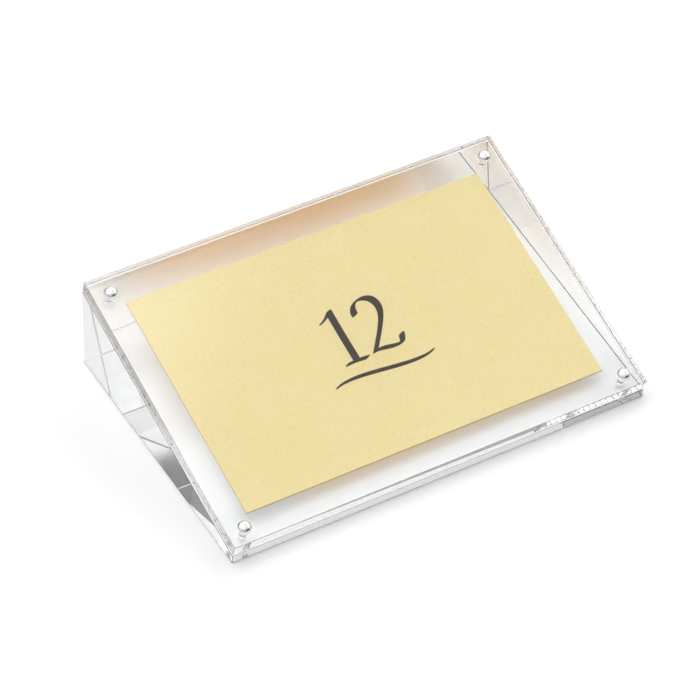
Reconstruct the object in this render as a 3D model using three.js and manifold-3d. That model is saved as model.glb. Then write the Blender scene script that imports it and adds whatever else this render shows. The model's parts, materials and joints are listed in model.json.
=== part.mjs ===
// Slanted sign holder: a clear wedge base, a clear cover sheet pinned on its slope,
// and a card held between the two.
// Millimetres, +Z up. X runs along the width and the low edge faces -Y.
// The origin is on the table, under the middle of the whole holder.

import * as THREE from 'three';
import { mergeVertices } from 'three/addons/utils/BufferGeometryUtils.js';
import Module from 'manifold-3d';

const wasm = await Module();
wasm.setup();

// Driving dimensions of the wedge base
const baseWidth = 139.7;
const baseDepth = 91.6;
const backHeight = 29;
const lipHeight = 2.8;
const arris = 0.15;

// Cover sheet, cut to the outline of the slope
const coverThickness = 4;

// Card, with the room that it has above and below
const cardWidth = 121;
const cardHeight = 76;
const cardThickness = 0.3;
const cardClearance = 0.3;

// Pins, one near each corner
const pinSideInset = 5.6;
const pinFrontInset = 4.7;
const pinBackInset = 6.5;
const shankRadius = 0.8;
const pinEngagement = 2.4;
const tipChamfer = 0.3;
const headRadius = 2.15;
const headRim = 0.35;
const headDome = 1.35;
const headSeatGap = 0.3;

// Holes for the pins
const shankClearance = 0.3;
const holeFloorGap = 0.4;
const drillConeShare = 0.3;

// Faceting and cutting
const roundSides = 48;
const domeSteps = 12;
const overrun = 1;

// Side profile of the holder, worked out from the driving dimensions
const rise = backHeight - lipHeight;
const slopeAngle = Math.atan2(rise, baseDepth);
const slopeLength = Math.hypot(rise, baseDepth);
const coverGap = cardThickness + 2 * cardClearance;
const stackHeight = coverGap + coverThickness;
const frontOverhang = (stackHeight - arris) * Math.sin(slopeAngle);
const frontY = (frontOverhang - baseDepth) / 2;
const holeRadius = shankRadius + shankClearance;
const holeDepth = pinEngagement + holeFloorGap;
const shankLength = stackHeight + pinEngagement + headSeatGap;

const acrylic = { color: 0xeef3f2, roughness: 0.03, metalness: 0, transparent: true, opacity: 0.35 };
const finishes = {
  base: new THREE.MeshStandardMaterial(acrylic),
  cover: new THREE.MeshStandardMaterial(acrylic),
  card: new THREE.MeshStandardMaterial({ color: 0xeedfa6, roughness: 0.85, metalness: 0 }),
  pin: new THREE.MeshStandardMaterial({ color: 0xe6e6e4, roughness: 0.12, metalness: 1 }),
};

// A convex outline with each corner cut back by the same amount along both of its sides
function withCutCorners(corners, cut) {
  const outline = [];
  corners.forEach((corner, i) => {
    const before = corners[(i + corners.length - 1) % corners.length];
    const after = corners[(i + 1) % corners.length];
    for (const neighbour of [before, after]) {
      const way = neighbour.clone().sub(corner).normalize();
      outline.push(corner.clone().addScaledVector(way, cut));
    }
  });
  return outline;
}

// A prism along Z whose every edge carries the same small chamfer
function chamferedPrism(corners, length, cut) {
  return new THREE.ExtrudeGeometry(new THREE.Shape(withCutCorners(corners, cut)), {
    depth: length - 2 * cut,
    steps: 1,
    curveSegments: 1,
    bevelEnabled: true,
    bevelThickness: cut,
    bevelSize: cut,
    bevelOffset: -cut,
    bevelSegments: 1,
  });
}

function toSolid(geometry) {
  const bare = geometry.clone();
  bare.deleteAttribute('normal');
  bare.deleteAttribute('uv');
  const merged = mergeVertices(bare);
  return new wasm.Manifold(new wasm.Mesh({
    numProp: 3,
    vertProperties: new Float32Array(merged.attributes.position.array),
    triVerts: new Uint32Array(merged.index.array),
  }));
}

function toGeometry(solid) {
  const mesh = solid.getMesh();
  const geometry = new THREE.BufferGeometry();
  geometry.setAttribute('position', new THREE.BufferAttribute(new Float32Array(mesh.vertProperties), 3));
  geometry.setIndex(new THREE.BufferAttribute(new Uint32Array(mesh.triVerts), 1));
  geometry.computeVertexNormals();
  return geometry;
}

// A body of revolution whose profile of [radius, height] pairs starts and ends on the axis,
// stood up so that its axis is Z
function turned(profile) {
  const points = profile.map(([radius, height]) => new THREE.Vector2(radius, height));
  return new THREE.LatheGeometry(points, roundSides).rotateX(Math.PI / 2);
}

// Places of the four pins on the slope: X across, Y up the slope from its low edge
const pinPlaces = {
  pin_front_left: [pinSideInset - baseWidth / 2, pinFrontInset],
  pin_front_right: [baseWidth / 2 - pinSideInset, pinFrontInset],
  pin_back_left: [pinSideInset - baseWidth / 2, slopeLength - pinBackInset],
  pin_back_right: [baseWidth / 2 - pinSideInset, slopeLength - pinBackInset],
};

function cutAtPins(geometry, tool) {
  let solid = toSolid(geometry);
  for (const [x, y] of Object.values(pinPlaces)) {
    solid = solid.subtract(toSolid(tool.clone().translate(x, y, 0)));
  }
  return toGeometry(solid);
}

// The wedge in the slope's own frame: its top face lies in the XY plane, so the blind holes
// are drilled square to it, each with the cone that a drill leaves
function wedgeBase() {
  const corners = [
    new THREE.Vector2(0, -lipHeight),
    new THREE.Vector2(baseDepth, -lipHeight),
    new THREE.Vector2(baseDepth, rise),
    new THREE.Vector2(0, 0),
  ];
  const wedge = chamferedPrism(corners, baseWidth, arris)
    .translate(0, 0, arris - baseWidth / 2)
    .applyMatrix4(new THREE.Matrix4().makeBasis(
      new THREE.Vector3(0, 1, 0),
      new THREE.Vector3(0, 0, 1),
      new THREE.Vector3(1, 0, 0),
    ))
    .rotateX(-slopeAngle);
  const cone = holeRadius * drillConeShare;
  const drill = turned([
    [0, -holeDepth - cone],
    [holeRadius, -holeDepth],
    [holeRadius, overrun],
    [0, overrun],
  ]);
  return cutAtPins(wedge, drill);
}

// The cover lies flat in the slope's frame, with its underside above the card's room
function coverSheet() {
  const corners = [
    new THREE.Vector2(-baseWidth / 2, 0),
    new THREE.Vector2(baseWidth / 2, 0),
    new THREE.Vector2(baseWidth / 2, slopeLength),
    new THREE.Vector2(-baseWidth / 2, slopeLength),
  ];
  const sheet = chamferedPrism(corners, coverThickness, arris).translate(0, 0, coverGap + arris);
  const drill = turned([
    [0, coverGap - overrun],
    [holeRadius, coverGap - overrun],
    [holeRadius, stackHeight + overrun],
    [0, stackHeight + overrun],
  ]);
  return cutAtPins(sheet, drill);
}

function card() {
  const middle = cardClearance + cardThickness / 2;
  return new THREE.BoxGeometry(cardWidth, cardHeight, cardThickness).translate(0, slopeLength / 2, middle);
}

// A round-headed pin: chamfered tip, plain shank, a flat seat under the head, a short
// upright rim, and a dome that is a quarter of an ellipse
function pin() {
  const profile = [
    [0, -shankLength],
    [shankRadius - tipChamfer, -shankLength],
    [shankRadius, tipChamfer - shankLength],
    [shankRadius, 0],
    [headRadius, 0],
    [headRadius, headRim],
  ];
  for (let step = 1; step < domeSteps; step += 1) {
    const turn = (Math.PI / 2) * (step / domeSteps);
    profile.push([headRadius * Math.cos(turn), headRim + headDome * Math.sin(turn)]);
  }
  profile.push([0, headRim + headDome]);
  return turned(profile).translate(0, 0, stackHeight + headSeatGap);
}

function named(name, geometry, material) {
  const mesh = new THREE.Mesh(geometry, material.clone());
  mesh.name = name;
  return mesh;
}

// Everything is placed in the slope's frame, which then tilts up about the lip's top edge
const slope = new THREE.Group();
slope.position.set(0, frontY, lipHeight);
slope.rotation.x = slopeAngle;
slope.add(named('wedge_base', wedgeBase(), finishes.base));
slope.add(named('cover_sheet', coverSheet(), finishes.cover));
slope.add(named('card', card(), finishes.card));
for (const [name, [x, y]] of Object.entries(pinPlaces)) {
  const mesh = named(name, pin(), finishes.pin);
  mesh.position.set(x, y, 0);
  slope.add(mesh);
}

const holder = new THREE.Group();
holder.add(slope);

export default holder;
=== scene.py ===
# %% [markdown]
# # A slanted sign holder
# The object is a solid wedge of clear acrylic. A clear sheet lies over its slope, a pale card is
# held between the two, and four round-headed pins go through the sheet into the wedge.
# Almost everything that the eye sees here is light bent by clear plastic, so the scene is built
# from the true solids and true refraction, and the rest of the work goes into surfaces and light.

# %% Load the fixed frame
import json
import math

import bmesh
import bpy
import numpy as np
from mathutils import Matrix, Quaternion, Vector


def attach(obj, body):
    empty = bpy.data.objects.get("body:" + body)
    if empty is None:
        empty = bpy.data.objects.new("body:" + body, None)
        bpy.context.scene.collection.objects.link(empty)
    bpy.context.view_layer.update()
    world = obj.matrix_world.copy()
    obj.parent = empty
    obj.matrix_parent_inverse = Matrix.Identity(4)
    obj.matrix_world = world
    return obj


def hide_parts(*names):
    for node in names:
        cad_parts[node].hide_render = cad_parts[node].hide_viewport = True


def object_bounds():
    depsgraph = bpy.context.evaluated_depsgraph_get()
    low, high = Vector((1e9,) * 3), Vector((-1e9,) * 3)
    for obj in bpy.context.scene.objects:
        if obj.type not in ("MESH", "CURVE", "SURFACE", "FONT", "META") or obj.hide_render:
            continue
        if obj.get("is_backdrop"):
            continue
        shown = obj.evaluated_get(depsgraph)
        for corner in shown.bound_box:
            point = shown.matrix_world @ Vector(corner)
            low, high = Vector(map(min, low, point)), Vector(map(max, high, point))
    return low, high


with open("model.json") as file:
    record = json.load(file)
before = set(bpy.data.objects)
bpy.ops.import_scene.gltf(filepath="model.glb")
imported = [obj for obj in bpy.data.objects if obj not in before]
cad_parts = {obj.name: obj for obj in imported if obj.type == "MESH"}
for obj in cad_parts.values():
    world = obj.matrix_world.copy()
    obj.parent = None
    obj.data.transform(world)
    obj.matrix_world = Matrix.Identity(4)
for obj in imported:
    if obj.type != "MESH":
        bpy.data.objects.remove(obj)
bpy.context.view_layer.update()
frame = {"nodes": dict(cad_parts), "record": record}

mm = 0.001
nodes = frame["nodes"]

# %% [markdown]
# ## The camera
# A long lens a little under a metre away sees the holder from its front left, tipped a few
# degrees. Azimuth, elevation, roll and distance are kept as named values round a target point,
# because they are easier to judge than a matrix.

# %% Place the camera
camera_azimuth = math.radians(-32.49)
camera_elevation = math.radians(44.61)
camera_roll = math.radians(3.02)
camera_distance = 0.959
camera_target = Vector((-0.0038, 0.0027, 0.012))
camera_lens = 166.7
nearest_seen = 0.01
farthest_seen = 20

back = Vector((
    math.sin(camera_azimuth) * math.cos(camera_elevation),
    -math.cos(camera_azimuth) * math.cos(camera_elevation),
    math.sin(camera_elevation),
))
camera_data = bpy.data.cameras.new("camera")
camera_data.lens = camera_lens
camera_data.clip_start = nearest_seen
camera_data.clip_end = farthest_seen
camera = bpy.data.objects.new("camera", camera_data)
bpy.context.scene.collection.objects.link(camera)
camera.rotation_mode = "QUATERNION"
camera.rotation_quaternion = (-back).to_track_quat("-Z", "Y") @ Quaternion((0, 0, 1), camera_roll)
camera.location = camera_target + camera_distance * back
bpy.context.scene.camera = camera
print("camera at", [round(c, 3) for c in camera.location])

# %% [markdown]
# ## The slope's own directions
# Card, sheet and pins all lie square to the slope, so three directions serve them all: across,
# up the slope, and straight out of it. The frame gives the last one as the axis along which the
# sheet lifts, and the other two follow from it.

# %% Directions and points on the slope
joints = frame["record"]["behaviour"]["joints"]
lift = next(joint for joint in joints if joint["name"] == "cover_lift")
across = np.array([1.0, 0.0, 0.0])
depth = np.array([0.0, 1.0, 0.0])
height = np.array([0.0, 0.0, 1.0])
outward = np.array(lift["axis"]) / np.linalg.norm(lift["axis"])
upslope = np.cross(outward, across)


def points(node):
    """All corners of a CAD node, one row each."""
    mesh = nodes[node].data
    flat = np.empty(3 * len(mesh.vertices))
    mesh.vertices.foreach_get("co", flat)
    return flat.reshape(-1, 3)


def span(node, direction):
    """How far a node reaches along a direction, from low to high."""
    along = points(node) @ direction
    return along.min(), along.max()


card_left, card_right = span("card", across)
card_foot, card_head = span("card", upslope)
card_top = span("card", outward)[1]
sheet_top = span("cover_sheet", outward)[1]
print("card in mm:", round((card_right - card_left) / mm, 2), round((card_head - card_foot) / mm, 2))
print("slope in degrees:", round(math.degrees(math.acos(outward[2])), 2))


def on_slope(x, y, level):
    """Points given across, up the slope and out of it, turned into the scene's own axes."""
    outer = np.multiply.outer
    return outer(x, across) + outer(y, upslope) + outer(level, outward)


# %% [markdown]
# ## Shader maths as plain expressions
# A material is a graph of nodes, and a graph is tedious to write node by node. `Value` wraps one
# socket and turns `+ - * /` and comparisons into Math nodes, and `Recipe.node` makes any other
# node.


# %% A value that does its own Math nodes
class Value:
    """One socket of a graph. An operator on it adds a Math node and gives that node's result."""

    def __init__(self, recipe, socket):
        self.recipe = recipe
        self.socket = socket

    def maths(self, operation, first, second=0.0):
        return self.recipe.node("ShaderNodeMath", {"operation": operation}, {0: first, 1: second})

    def __add__(self, other):
        return self.maths("ADD", self, other)

    def __sub__(self, other):
        return self.maths("SUBTRACT", self, other)

    def __rsub__(self, other):
        return self.maths("SUBTRACT", other, self)

    def __mul__(self, other):
        return self.maths("MULTIPLY", self, other)

    def __truediv__(self, other):
        return self.maths("DIVIDE", self, other)

    def __rtruediv__(self, other):
        return self.maths("DIVIDE", other, self)

    def __gt__(self, other):
        return self.maths("GREATER_THAN", self, other)

    def __abs__(self):
        return self.maths("ABSOLUTE", self)

    __radd__ = __add__
    __rmul__ = __mul__

    def smooth(self, low, high):
        """0 below `low`, 1 above `high`, and a soft step between. `low` may be the larger one."""
        return self.recipe.node("ShaderNodeMapRange", {"interpolation_type": "SMOOTHSTEP"}, {
            "Value": self, "From Min": low, "From Max": high})


# %% A recipe is one graph
class Recipe:
    """The graph of one material, or of the world."""

    def __init__(self, owner):
        owner.use_nodes = True
        self.owner = owner
        self.tree = owner.node_tree
        self.tree.nodes.clear()

    def node(self, kind, settings=None, inputs=None, out=0):
        """Adds a node: its settings first, then its sockets, which take numbers or other values."""
        made = self.tree.nodes.new(kind)
        for name, value in (settings or {}).items():
            setattr(made, name, value)
        for name, value in (inputs or {}).items():
            if isinstance(value, Value):
                self.tree.links.new(value.socket, made.inputs[name])
            else:
                made.inputs[name].default_value = value
        return Value(self, made.outputs[out]) if len(made.outputs) else None

    def axes(self, vector):
        """The three numbers of a vector."""
        first = self.node("ShaderNodeSeparateXYZ", None, {0: vector})
        return [Value(self, socket) for socket in first.socket.node.outputs]

    def vector(self, first, second=0.0, third=0.0):
        """A vector from three numbers."""
        return self.node("ShaderNodeCombineXYZ", None, {0: first, 1: second, 2: third})

    def along(self, vector, direction):
        """How much of a vector lies along a fixed direction."""
        return self.node("ShaderNodeVectorMath", {"operation": "DOT_PRODUCT"}, {
            0: vector, 1: tuple(direction)}, out="Value")

    def noise(self, vector, scale, detail, roughness=0.5):
        """Cloudy noise between 0 and 1."""
        return self.node("ShaderNodeTexNoise", None, {
            "Vector": vector, "Scale": scale, "Detail": detail, "Roughness": roughness})

    def blend(self, share, first, second):
        """A colour between two others."""
        return self.node("ShaderNodeMix", {"data_type": "RGBA"}, {0: share, 6: first, 7: second}, out=2)

    def bump(self, strength, depth, relief):
        """A normal that stands for relief too fine to be in the mesh."""
        return self.node("ShaderNodeBump", None, {
            "Strength": strength, "Distance": depth, "Height": relief})

    def surface(self, shader):
        """Sends a shader to the material's output."""
        self.node("ShaderNodeOutputMaterial", None, {"Surface": shader})


# %% Making a material and giving it to a piece
def new_material(name):
    return Recipe(bpy.data.materials.new(name))


def give(piece, recipe):
    piece.data.materials.clear()
    piece.data.materials.append(recipe.owner)
    print(recipe.owner.name, "with", len(recipe.tree.nodes), "nodes goes on", piece.name)


# %% [markdown]
# ## Clear acrylic
# Acrylic bends light with an index of 1.49 and is clear all the way through, so nothing but its
# surface needs describing. The broad faces are as cast. The sawn sides were polished afterwards,
# which leaves them a shade greyer, but the sheet's two short ones still have marks of the saw with
# dirt in them. The drilled holes are a little matt. The narrow arrises were scraped by hand, so
# they are dull and show as thin dark lines, all but the one over the lip. A painted contact shadow,
# dark and dull, lies along the foot of the block where it meets the floor. All of these are told
# apart by which way the surface faces, by how far it leans from the slope's own direction, and for
# the painted shadow by its height.

# %% What the acrylic is like
acrylic_index = 1.49
cast_colour = (0.975, 0.980, 0.981, 1)
drilled_colour = (0.620, 0.620, 0.620, 1)
sawn_colour = (0.990, 0.990, 0.990, 1)
saw_dirt = (0.040, 0.037, 0.034, 1)
drilled_roughness = 0.25
arris_roughness = 0.16
dull_roughness = 0.6
dull_gloss = 0.3
# Height and strength of the painted contact shadow along the foot of the block.
contact_shade_height = 0.45 * mm
contact_shade_share = 0.65

facing_limit = 0.98
upright_limit = 0.02
flat_limit = 0.92

saw_mark_scale = 1700.0
saw_mark_detail = 2.0
saw_mark_roughness = 0.6
saw_mark_stretch = 0.6
saw_mark_depth = 0.05 * mm
dirt_from, dirt_full = 0.60, 0.63


# %% Clear acrylic
def clear_acrylic(name, cast, polished, sawn, eased, polished_colour, arris_and_contact_shade_colour, arris_share):
    """Acrylic whose faces are told apart by the directions that they look along."""
    recipe = new_material(name)
    place = recipe.node("ShaderNodeTexCoord", out="Object")
    normal = recipe.node("ShaderNodeNewGeometry", out="True Normal")

    def faces(directions):
        """1 on faces that look along any of these directions, or straight away from it."""
        return sum((abs(recipe.along(normal, way)) > facing_limit for way in directions), 0.0)

    as_cast, as_polished, as_sawn = faces(cast), faces(polished), faces(sawn)
    as_eased = sum((recipe.along(normal, way) > facing_limit for way in eased), 0.0)
    lean = abs(recipe.along(normal, outward))
    narrow = 1 - as_cast - as_polished - as_eased
    arris = narrow * (lean > upright_limit) * (1 - (lean > flat_limit))
    drilled = narrow - arris
    # Painted contact shadow: the polished sides turn dark and dull for a fraction of a millimetre above the
    # floor.
    contact_shade = as_polished * recipe.along(place, height).smooth(contact_shade_height, 0.5 * contact_shade_height)
    run = recipe.vector(
        recipe.along(place, across), recipe.along(place, upslope),
        recipe.along(place, outward) * saw_mark_stretch)
    marks = recipe.noise(run, saw_mark_scale, saw_mark_detail, saw_mark_roughness)
    side_colour = recipe.blend(as_sawn, polished_colour, sawn_colour)
    colour = recipe.blend(drilled, side_colour, drilled_colour)
    clear = recipe.node("ShaderNodeBsdfPrincipled", None, {
        "Base Color": recipe.blend(as_cast, colour, cast_colour),
        "Roughness": drilled * drilled_roughness + arris * arris_roughness,
        "IOR": acrylic_index,
        "Transmission Weight": 1.0,
        "Normal": recipe.bump(1.0, saw_mark_depth, marks * as_sawn),
    })
    dull = recipe.node("ShaderNodeBsdfPrincipled", None, {
        "Base Color": recipe.blend(as_sawn, arris_and_contact_shade_colour, saw_dirt),
        "Roughness": dull_roughness,
        "Specular IOR Level": dull_gloss,
    })
    dirty = as_sawn * marks.smooth(dirt_from, dirt_full)
    # Share of the dull shader: scraped arrises, the painted contact shadow and the dirt in the saw marks.
    share = arris * arris_share + contact_shade * contact_shade_share + dirty
    recipe.surface(recipe.node("ShaderNodeMixShader", None, {0: share, 1: clear, 2: dull}))
    return recipe


# %% The block and the sheet
lip_edge = (outward - depth) / np.linalg.norm(outward - depth)

# The block's dark arris colour also paints the contact shadow along its foot.
give(nodes["wedge_base"], clear_acrylic(
    "polished_block", cast=(height, outward), polished=(across, depth), sawn=(), eased=(lip_edge,),
    polished_colour=(0.860, 0.870, 0.870, 1), arris_and_contact_shade_colour=(0.14, 0.13, 0.12, 1), arris_share=0.85))
give(nodes["cover_sheet"], clear_acrylic(
    "sawn_sheet", cast=(outward,), polished=(across, upslope), sawn=(across,), eased=(),
    polished_colour=(0.930, 0.935, 0.935, 1), arris_and_contact_shade_colour=(0.36, 0.27, 0.17, 1), arris_share=0.50))

# %% [markdown]
# ## The card
# The card is an uncoated pale yellow stock with a cloudy tone, a fine mottle and a scatter of
# paler and darker fibres. All of that is far finer than the card, so it comes from noise in the
# card's own coordinates. A fibre is noise that is stretched in one direction, and two such layers
# at different angles lie across each other as real fibres do.

# %% Fibres in the paper
fibre_scale = 1900.0
fibre_stretch = 0.25
pale_turns = (0.5, 2.3)
dark_turns = (1.3, 3.0)

paper = new_material("flecked_card")
place = paper.node("ShaderNodeTexCoord", out="Object")
over, up = paper.along(place, across), paper.along(place, upslope)


def fibres(turn, low, high):
    """Thin streaks that lie at an angle, where stretched noise is between `low` and `high`."""
    along = over * math.cos(turn) + up * math.sin(turn)
    aside = up * math.cos(turn) - over * math.sin(turn)
    streak = paper.noise(paper.vector(along * fibre_stretch, aside, turn), fibre_scale, 1.0)
    return streak.smooth(low, high)


pale_fibres = 0.5 * sum(fibres(turn, 0.60, 0.70) for turn in pale_turns)
dark_fibres = 0.3 * sum(fibres(turn, 0.62, 0.72) for turn in dark_turns)
print("fibre layers:", len(pale_turns), "pale,", len(dark_turns), "dark")

# %% The card's upper face
paper_colour = (0.955, 0.815, 0.432, 1)
paper_deep = (0.930, 0.785, 0.392, 1)
pale_fibre = (0.985, 0.880, 0.580, 1)
dark_fibre = (0.800, 0.620, 0.280, 1)
cloud_scale, cloud_share = 70.0, 0.35
mottle_scale, mottle_share = 1300.0, 0.65

cloud = paper.noise(place, cloud_scale, 3.0)
mottle = paper.noise(place, mottle_scale, 2.0)
tone = cloud_share * cloud.smooth(0.35, 0.65) + mottle_share * mottle.smooth(0.38, 0.62)
top_colour = paper.blend(tone, paper_deep, paper_colour)
top_colour = paper.blend(pale_fibres, top_colour, pale_fibre)
top_colour = paper.blend(dark_fibres, top_colour, dark_fibre)

# %% [markdown]
# ### The card's edges and underside
# The cut sides are darker, and a thin painted shadow line runs along the lower edge. The underside
# carries painted warm light, which stands in for light shining through the yellow card and bouncing
# under it. It is warmer along its upper part, which the block mirrors in the strip behind the card,
# and it turns plain towards its ends, which keeps the margins beside the card neutral.

# %% The whole card
cut_colour = (0.300, 0.200, 0.100, 1)
# The underside is painted with warm light in place of light shining through the card, and plain grey at its
# ends.
painted_under_glow = (1.000, 0.680, 0.160, 1)
under_plain = (0.780, 0.780, 0.780, 1)
# Strength of the painted shadow line along the card's lower edge.
edge_shadow_share = 0.6
tooth_depth = 0.02 * mm

normal = paper.node("ShaderNodeNewGeometry", out="True Normal")
facing_down = paper.along(normal, -outward) > 0.5
facing_up = paper.along(normal, outward) > 0.5
from_left = (over - card_left) / (card_right - card_left)
from_foot = (up - card_foot) / (card_head - card_foot)

# Painted shadow line: the top face darkens to the cut colour along the lower edge.
top_colour = paper.blend(edge_shadow_share * from_foot.smooth(0.004, 0.001), top_colour, cut_colour)
# Where the painted warm light lies under the card: between the ends, a little weaker near the foot.
between_ends = from_left.smooth(0.08, 0.22) * from_left.smooth(0.99, 0.93)
under_glow_share = between_ends * (0.8 + 0.2 * from_foot.smooth(0.2, 0.6))
face_colour = paper.blend(facing_up, cut_colour, top_colour)
face_colour = paper.blend(facing_down, face_colour, paper.blend(under_glow_share, under_plain, painted_under_glow))
paper.surface(paper.node("ShaderNodeBsdfPrincipled", None, {
    "Base Color": face_colour,
    "Roughness": 0.85,
    "Specular IOR Level": 0.3,
    "Normal": paper.bump(0.5, tooth_depth, mottle),
}))
give(nodes["card"], paper)

# %% [markdown]
# ## The number on the card
# The card carries a plain table number, written the way a broad nib writes. The nib is taken as a
# slim ellipse that always lies at one angle, and each stroke is a curve that it is drawn along:
# the borders of the stroke are the curve moved to the two sides of that ellipse, so thick and
# thin parts come by themselves.

# %% What a broad nib leaves along a curve
nib_half_width = 1.25 * mm
nib_half_thickness = 0.30 * mm
nib_angle = math.radians(22)
curve_steps = 40
end_steps = 7


def spine(*handles):
    """A chain of cubic curves (1-t)^3 a + 3 (1-t)^2 t b + 3 (1-t) t^2 c + t^3 d, in mm on the card."""
    t = np.linspace(0, 1, curve_steps)[:, None]
    a, b, c, d = (np.array(handles[start:len(handles) - 3 + start:3], float)[:, None] for start in range(4))
    chain = (1 - t) ** 3 * a + 3 * (1 - t) ** 2 * t * b + 3 * (1 - t) * t ** 2 * c + t ** 3 * d
    return np.concatenate([chain[0], *chain[1:, 1:]]) * mm


def nib_reach(side):
    """The nib's outermost point towards `side`: (a^2 (n.u) u + b^2 (n.v) v) / |(a n.u, b n.v)|."""
    along = np.array([math.cos(nib_angle), math.sin(nib_angle)])
    athwart = np.array([-along[1], along[0]])
    u, v = nib_half_width * (side @ along), nib_half_thickness * (side @ athwart)
    places = nib_half_width * u[:, None] * along + nib_half_thickness * v[:, None] * athwart
    return places / np.hypot(u, v)[:, None]


def borders(path):
    """Left and right borders of a stroke, closed round both of its ends."""
    way = np.gradient(path, axis=0)
    way = way / np.linalg.norm(way, axis=1)[:, None]
    left = np.stack([-way[:, 1], way[:, 0]], 1)
    turn = np.linspace(np.pi / 2, 0, end_steps, endpoint=False)[:, None]
    sides = []
    for side in (left, -left):
        start = path[0] + nib_reach(np.cos(turn) * side[0] - np.sin(turn) * way[0])
        finish = path[-1] + nib_reach(np.cos(turn) * side[-1] + np.sin(turn) * way[-1])
        sides.append(np.concatenate([start, path + nib_reach(side), finish[::-1]]))
    return sides


# %% The strokes of the number, and a flourish under it
number_strokes = [
    spine((2.4, 15.9), (3.5, 16.3), (4.8, 17.2), (6.1, 18.6)),
    spine((6.1, 18.6), (6.0, 12.0), (6.0, 6.0), (6.1, 0.9)),
    spine((2.9, 0.35), (5.0, 0.60), (7.2, 0.60), (9.3, 0.35)),
    spine((13.0, 14.6), (12.8, 17.2), (14.7, 18.9), (17.1, 18.9), (19.9, 18.9), (21.4, 16.6), (20.9, 13.7),
          (20.4, 10.6), (16.1, 5.6), (12.7, 1.2)),
    spine((12.7, 1.2), (15.7, 1.9), (17.9, 0.2), (21.7, 0.9)),
    spine((21.7, 0.9), (22.2, 1.5), (22.6, 2.4), (22.8, 3.5)),
    spine((-3.4, -5.2), (4.4, -2.6), (20.6, -7.8), (28.4, -5.2)),
]
number_middle = np.array([12.5, 6.6]) * mm
print("number:", len(number_strokes), "strokes")

# %% Strokes as thin solid strips
ink_above_card = 0.004 * mm
ink_thickness = 0.012 * mm
ink_layer = 0.002 * mm
same_place = 0.0001 * mm


def inked(strokes, middle, x, y):
    """Each stroke as a thin closed strip with four corners a row, the later ones a hair higher."""
    corners, quads, made = [], [], 0
    for order, path in enumerate(strokes):
        left, right = borders(path - middle + (x, y))
        low = card_top + ink_above_card
        high = low + ink_thickness + order * ink_layer
        rows = [on_slope(side[:, 0], side[:, 1], np.full(len(side), level))
                for side, level in ((left, low), (right, low), (right, high), (left, high))]
        i, k = np.meshgrid(np.arange(len(left) - 1), np.arange(4), indexing="ij")
        after = (k + 1) % 4
        ring = np.stack([4 * i + k, 4 * i + 4 + k, 4 * i + 4 + after, 4 * i + after], -1)
        quads.append(made + ring.reshape(-1, 4))
        corners.append(np.stack(rows, 1).reshape(-1, 3))
        made += 4 * len(left)
    mesh = bpy.data.meshes.new("table_number")
    mesh.from_pydata(np.concatenate(corners).tolist(), [], np.concatenate(quads).tolist())
    shape = bmesh.new()
    shape.from_mesh(mesh)
    bmesh.ops.remove_doubles(shape, verts=shape.verts, dist=same_place)
    shape.to_mesh(mesh)
    shape.free()
    piece = bpy.data.objects.new("table_number", mesh)
    bpy.context.scene.collection.objects.link(piece)
    return piece


# %% Write it on the card
ink_dark = (0.040, 0.029, 0.022, 1)
ink_thin = (0.062, 0.046, 0.034, 1)
ink_scale = 2500.0

ink = new_material("brown_ink")
coverage = ink.noise(ink.node("ShaderNodeTexCoord", out="Object"), ink_scale, 2.0)
ink.surface(ink.node("ShaderNodeBsdfPrincipled", None, {
    "Base Color": ink.blend(coverage.smooth(0.3, 0.7), ink_dark, ink_thin),
    "Roughness": 0.6 + coverage * 0.2,
    "Specular IOR Level": 0.3,
}))

number = inked(number_strokes, number_middle, (card_left + card_right) / 2, (card_foot + card_head) / 2)
give(number, ink)
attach(number, "card")
print("number:", len(number.data.vertices), "corners")

# %% [markdown]
# ## The pins
# Each pin is a turned metal rod with a round head. The CAD pin has flat facets and hovers a
# hair above the sheet, so a finer one takes its place: a profile of radius against height,
# carried once round the pin's axis.

# %% A turned pin
turn_steps = 96
dome_steps = 28
corner_steps = 8


def quarter(centre, radii, start, steps):
    """Points on a quarter of an ellipse: centre + radii x (cos, sin), from the angle `start` upwards."""
    angle = np.radians(start) + np.linspace(0, np.pi / 2, steps)
    return np.stack([centre[0] + radii[0] * np.cos(angle), centre[1] + radii[1] * np.sin(angle)], 1)


def turned(name, profile, foot, axis):
    """Point (k, t) = foot + axis h(k) + r(k) (side cos t + front sin t), closed where r is 0."""
    side = across
    front = np.cross(axis, side)
    turn = np.linspace(0, 2 * np.pi, turn_steps, endpoint=False)
    round_about = np.multiply.outer(np.cos(turn), side) + np.multiply.outer(np.sin(turn), front)
    rings = profile[1:-1]
    wall = foot + rings[:, 1, None, None] * axis + rings[:, 0, None, None] * round_about
    ends = foot + np.multiply.outer(profile[[0, -1], 1], axis)
    corners = np.concatenate([wall.reshape(-1, 3), ends])
    k, t = np.meshgrid(np.arange(len(rings) - 1), np.arange(turn_steps), indexing="ij")
    after = (t + 1) % turn_steps
    quads = np.stack([k * turn_steps + t, k * turn_steps + after,
                      (k + 1) * turn_steps + after, (k + 1) * turn_steps + t], -1).reshape(-1, 4)
    low, high = len(corners) - 2, len(corners) - 1
    t = np.arange(turn_steps)
    after = (t + 1) % turn_steps
    last = (len(rings) - 1) * turn_steps
    caps = np.concatenate([np.stack([after, t, np.full_like(t, low)], 1),
                           np.stack([last + t, last + after, np.full_like(t, high)], 1)])
    mesh = bpy.data.meshes.new(name)
    mesh.from_pydata(corners.tolist(), [], quads.tolist() + caps.tolist())
    mesh.shade_smooth()
    piece = bpy.data.objects.new(name, mesh)
    bpy.context.scene.collection.objects.link(piece)
    return piece


# %% [markdown]
# ### Bright metal with turning marks
# The tool leaves rings round the axis. On a dome every ring has its own height, so noise that
# varies only with height along the axis draws exactly those rings.

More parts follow.
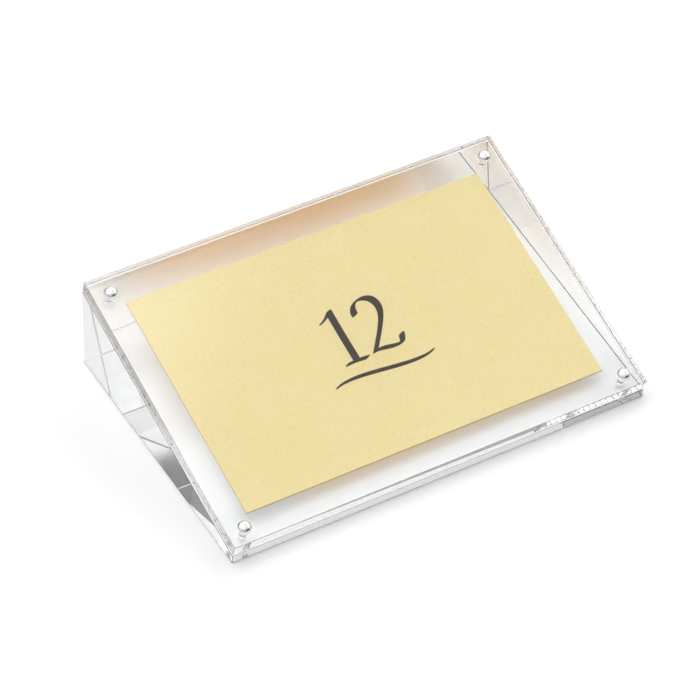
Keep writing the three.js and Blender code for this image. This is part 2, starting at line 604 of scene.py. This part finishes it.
# %% Bright metal
worn_metal = (0.90, 0.90, 0.89, 1)
clean_metal = (0.97, 0.97, 0.96, 1)
ring_scale = 9000
ring_depth = 0.0006 * mm
wear_scale = 1800.0

bright = new_material("bright_pin_metal")
place = bright.node("ShaderNodeTexCoord", out="Object")
rings = bright.noise(bright.vector(bright.along(place, outward) * ring_scale), 1.0, 2.0)
wear = bright.noise(place, wear_scale, 2.0)
bright.surface(bright.node("ShaderNodeBsdfPrincipled", None, {
    "Base Color": bright.blend(wear, worn_metal, clean_metal),
    "Roughness": 0.06 + wear * 0.10,
    "Metallic": 1.0,
    "Normal": bright.bump(1.0, ring_depth, rings),
}))

# %% Four pins in place of the CAD ones
shank_radius = 0.8 * mm
head_radius = 2.15 * mm
head_rim = 0.40 * mm
head_height = 1.70 * mm
rim_corner = 0.22 * mm
seat_gap = 0.03 * mm
tip_chamfer = 0.3 * mm

dome = quarter((0.0, head_rim), (head_radius, head_height - head_rim), 0, dome_steps)
corner_centre = (head_radius - rim_corner, seat_gap + rim_corner)
corner = quarter(corner_centre, (rim_corner, rim_corner), -90, corner_steps)

for node in [name for name in nodes if name.startswith("pin_")]:
    reach = points(node) @ outward
    apex = points(node)[np.argmax(reach)]
    foot = apex - outward * (apex @ outward - sheet_top)
    low = reach.min() - sheet_top
    shank = [[0, low], [shank_radius - tip_chamfer, low], [shank_radius, low + tip_chamfer],
             [shank_radius, seat_gap]]
    profile = np.concatenate([shank, corner, dome])
    profile[-1, 0] = 0
    pin = turned("turned_" + node, profile, foot, outward)
    give(pin, bright)
    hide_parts(node)
    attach(pin, node)
    print(node, "head", round(2 * head_radius / mm, 2), "mm wide,", round(head_height / mm, 2), "mm tall")

# %% [markdown]
# ## The floor
# A wide white floor takes the shadow. Where the eye sees it, straight, mirrored or through the
# acrylic, it gets a breath of light of its own, so that unshaded it is as white as paper.

# %% Floor
floor_half = 4.0
floor_drop = 0.1 * mm
floor_white = 0.95
floor_glow = 0.03

floor_mesh = bpy.data.meshes.new("floor")
floor_corners = [(-floor_half, -floor_half, 0), (floor_half, -floor_half, 0),
                 (floor_half, floor_half, 0), (-floor_half, floor_half, 0)]
floor_mesh.from_pydata(floor_corners, [], [(0, 1, 2, 3)])
floor = bpy.data.objects.new("floor", floor_mesh)
bpy.context.scene.collection.objects.link(floor)
floor.location.z = -floor_drop

floor_paint = new_material("floor_paint")
rays_to_the_eye = ("Is Camera Ray", "Is Glossy Ray", "Is Transmission Ray")
seen = sum(floor_paint.node("ShaderNodeLightPath", out=name) for name in rays_to_the_eye)
white = (floor_white, floor_white, floor_white, 1)
diffuse = floor_paint.node("ShaderNodeBsdfDiffuse", None, {"Color": white})
glow = floor_paint.node("ShaderNodeEmission", None, {"Color": (1, 1, 1, 1), "Strength": seen * floor_glow})
floor_paint.surface(floor_paint.node("ShaderNodeAddShader", None, {0: diffuse, 1: glow}))
give(floor, floor_paint)
floor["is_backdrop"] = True

# %% [markdown]
# ## The studio
# Clear plastic has no colour of its own: it shows the room. The room is a pale tent, brighter
# above than low down. A large flat panel hangs a metre above the table and reaches out to the
# back left. Its near edge is mirrored in the sheet's top left corner, and the panel stops there,
# so that the rest of the card stays free of glare, helped by a grey flag high on the right. A
# second glow comes from the right and a low one from the back. The front of the tent is dimmer,
# with a dark opening in it, so that the shadow falls towards the eye, and a strip of light under
# the opening. There is a low gap at the back left.

# %% Zones of the sky
world = bpy.data.worlds.new("studio")
bpy.context.scene.world = world
sky = Recipe(world)
x, y, z = sky.axes(sky.node("ShaderNodeTexCoord", out="Generated"))
in_degrees = 180 / math.pi
compass = x.maths("ARCTAN2", x, y) * in_degrees
climb = z.maths("ARCSINE", z) * in_degrees


def zone(bearing, half_width, low, high, soft, low_soft=None):
    """1 inside a patch of sky given by compass bearing (0 is +Y, 90 is +X) and height in degrees."""
    one_turn_on = compass - bearing + 540
    turned_to = one_turn_on.maths("FLOORED_MODULO", one_turn_on, 360.0) - 180
    beside = abs(turned_to).smooth(half_width + soft, half_width - soft)
    edge = low_soft or soft
    return beside * climb.smooth(low - edge, low + edge) * climb.smooth(high + soft, high - soft)


def flat_panel(bearing, near, far, middle, half_width, soft, near_soft):
    """1 on a rectangle one metre up, in metres: near and far along the bearing, the rest across it."""
    turn = math.radians(bearing)
    away = (x * math.sin(turn) + y * math.cos(turn)) / z
    aside = (x * math.cos(turn) - y * math.sin(turn)) / z
    inside = away.smooth(near - near_soft, near + near_soft) * away.smooth(far + soft, far - soft)
    over_horizon = z > 0.02
    return inside * abs(aside - middle).smooth(half_width + soft, half_width - soft) * over_horizon


front = zone(bearing=180, half_width=75, low=-10, high=62, soft=15)
low_back = zone(bearing=15, half_width=35, low=-5, high=12, soft=4)
right = zone(bearing=70, half_width=45, low=31, high=56, soft=8)
flag = zone(bearing=72, half_width=22, low=60, high=76, soft=5)
opening = zone(bearing=158, half_width=26, low=17.2, high=46, soft=6, low_soft=0.3)
under_opening = zone(bearing=160, half_width=10, low=11, high=17.1, soft=0.15, low_soft=3)
gap = zone(bearing=-22, half_width=24, low=5, high=30, soft=4, low_soft=5)
panel = flat_panel(
    bearing=-45, near=-0.135, far=0.80, middle=0.08, half_width=0.36, soft=0.09, near_soft=0.03)

# %% How bright each zone is
tent_level = 0.58
upper_level = 0.36
panel_level = 1.65
low_back_level = 0.24
right_level = 1.05
under_opening_level = 0.60
opening_share = 0.86
gap_share = 0.80
flag_share = 0.60
front_share = 0.30

level = tent_level + upper_level * climb.smooth(29, 37)
level = level * (1 - front_share * front)
level = level + low_back_level * low_back + right_level * right
level = level * (1 - flag_share * flag) * (1 - opening_share * opening)
level = level + under_opening_level * under_opening
level = level * (1 - gap_share * gap) + panel_level * panel
shader = sky.node("ShaderNodeBackground", None, {"Color": (1, 1, 1, 1), "Strength": level})
sky.node("ShaderNodeOutputWorld", None, {"Surface": shader})
print("studio:", len(sky.tree.nodes), "nodes")

# %% [markdown]
# ## Light paths
# A ray inside the wedge can bounce off its walls many times before it leaves, and a path that is
# cut short turns black. So the limits on bounces are raised, and the blur that is added to gloss
# behind a matt bounce is turned off, because it would dim everything seen through the sheet.

# %% Let light bounce inside the acrylic
clear_bounces = 40
matt_bounces = 16

cycles = bpy.context.scene.cycles
cycles.max_bounces = clear_bounces
cycles.glossy_bounces = clear_bounces
cycles.transmission_bounces = clear_bounces
cycles.diffuse_bounces = matt_bounces
cycles.blur_glossy = 0.0
bpy.context.scene.view_settings.view_transform = "Standard"
print("bounces allowed:", clear_bounces, "clear,", matt_bounces, "matt")

# %% Write the sizes and finish
low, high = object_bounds()
print("visual box in mm:", [round((top - bottom) / mm, 2) for bottom, top in zip(low, high)])
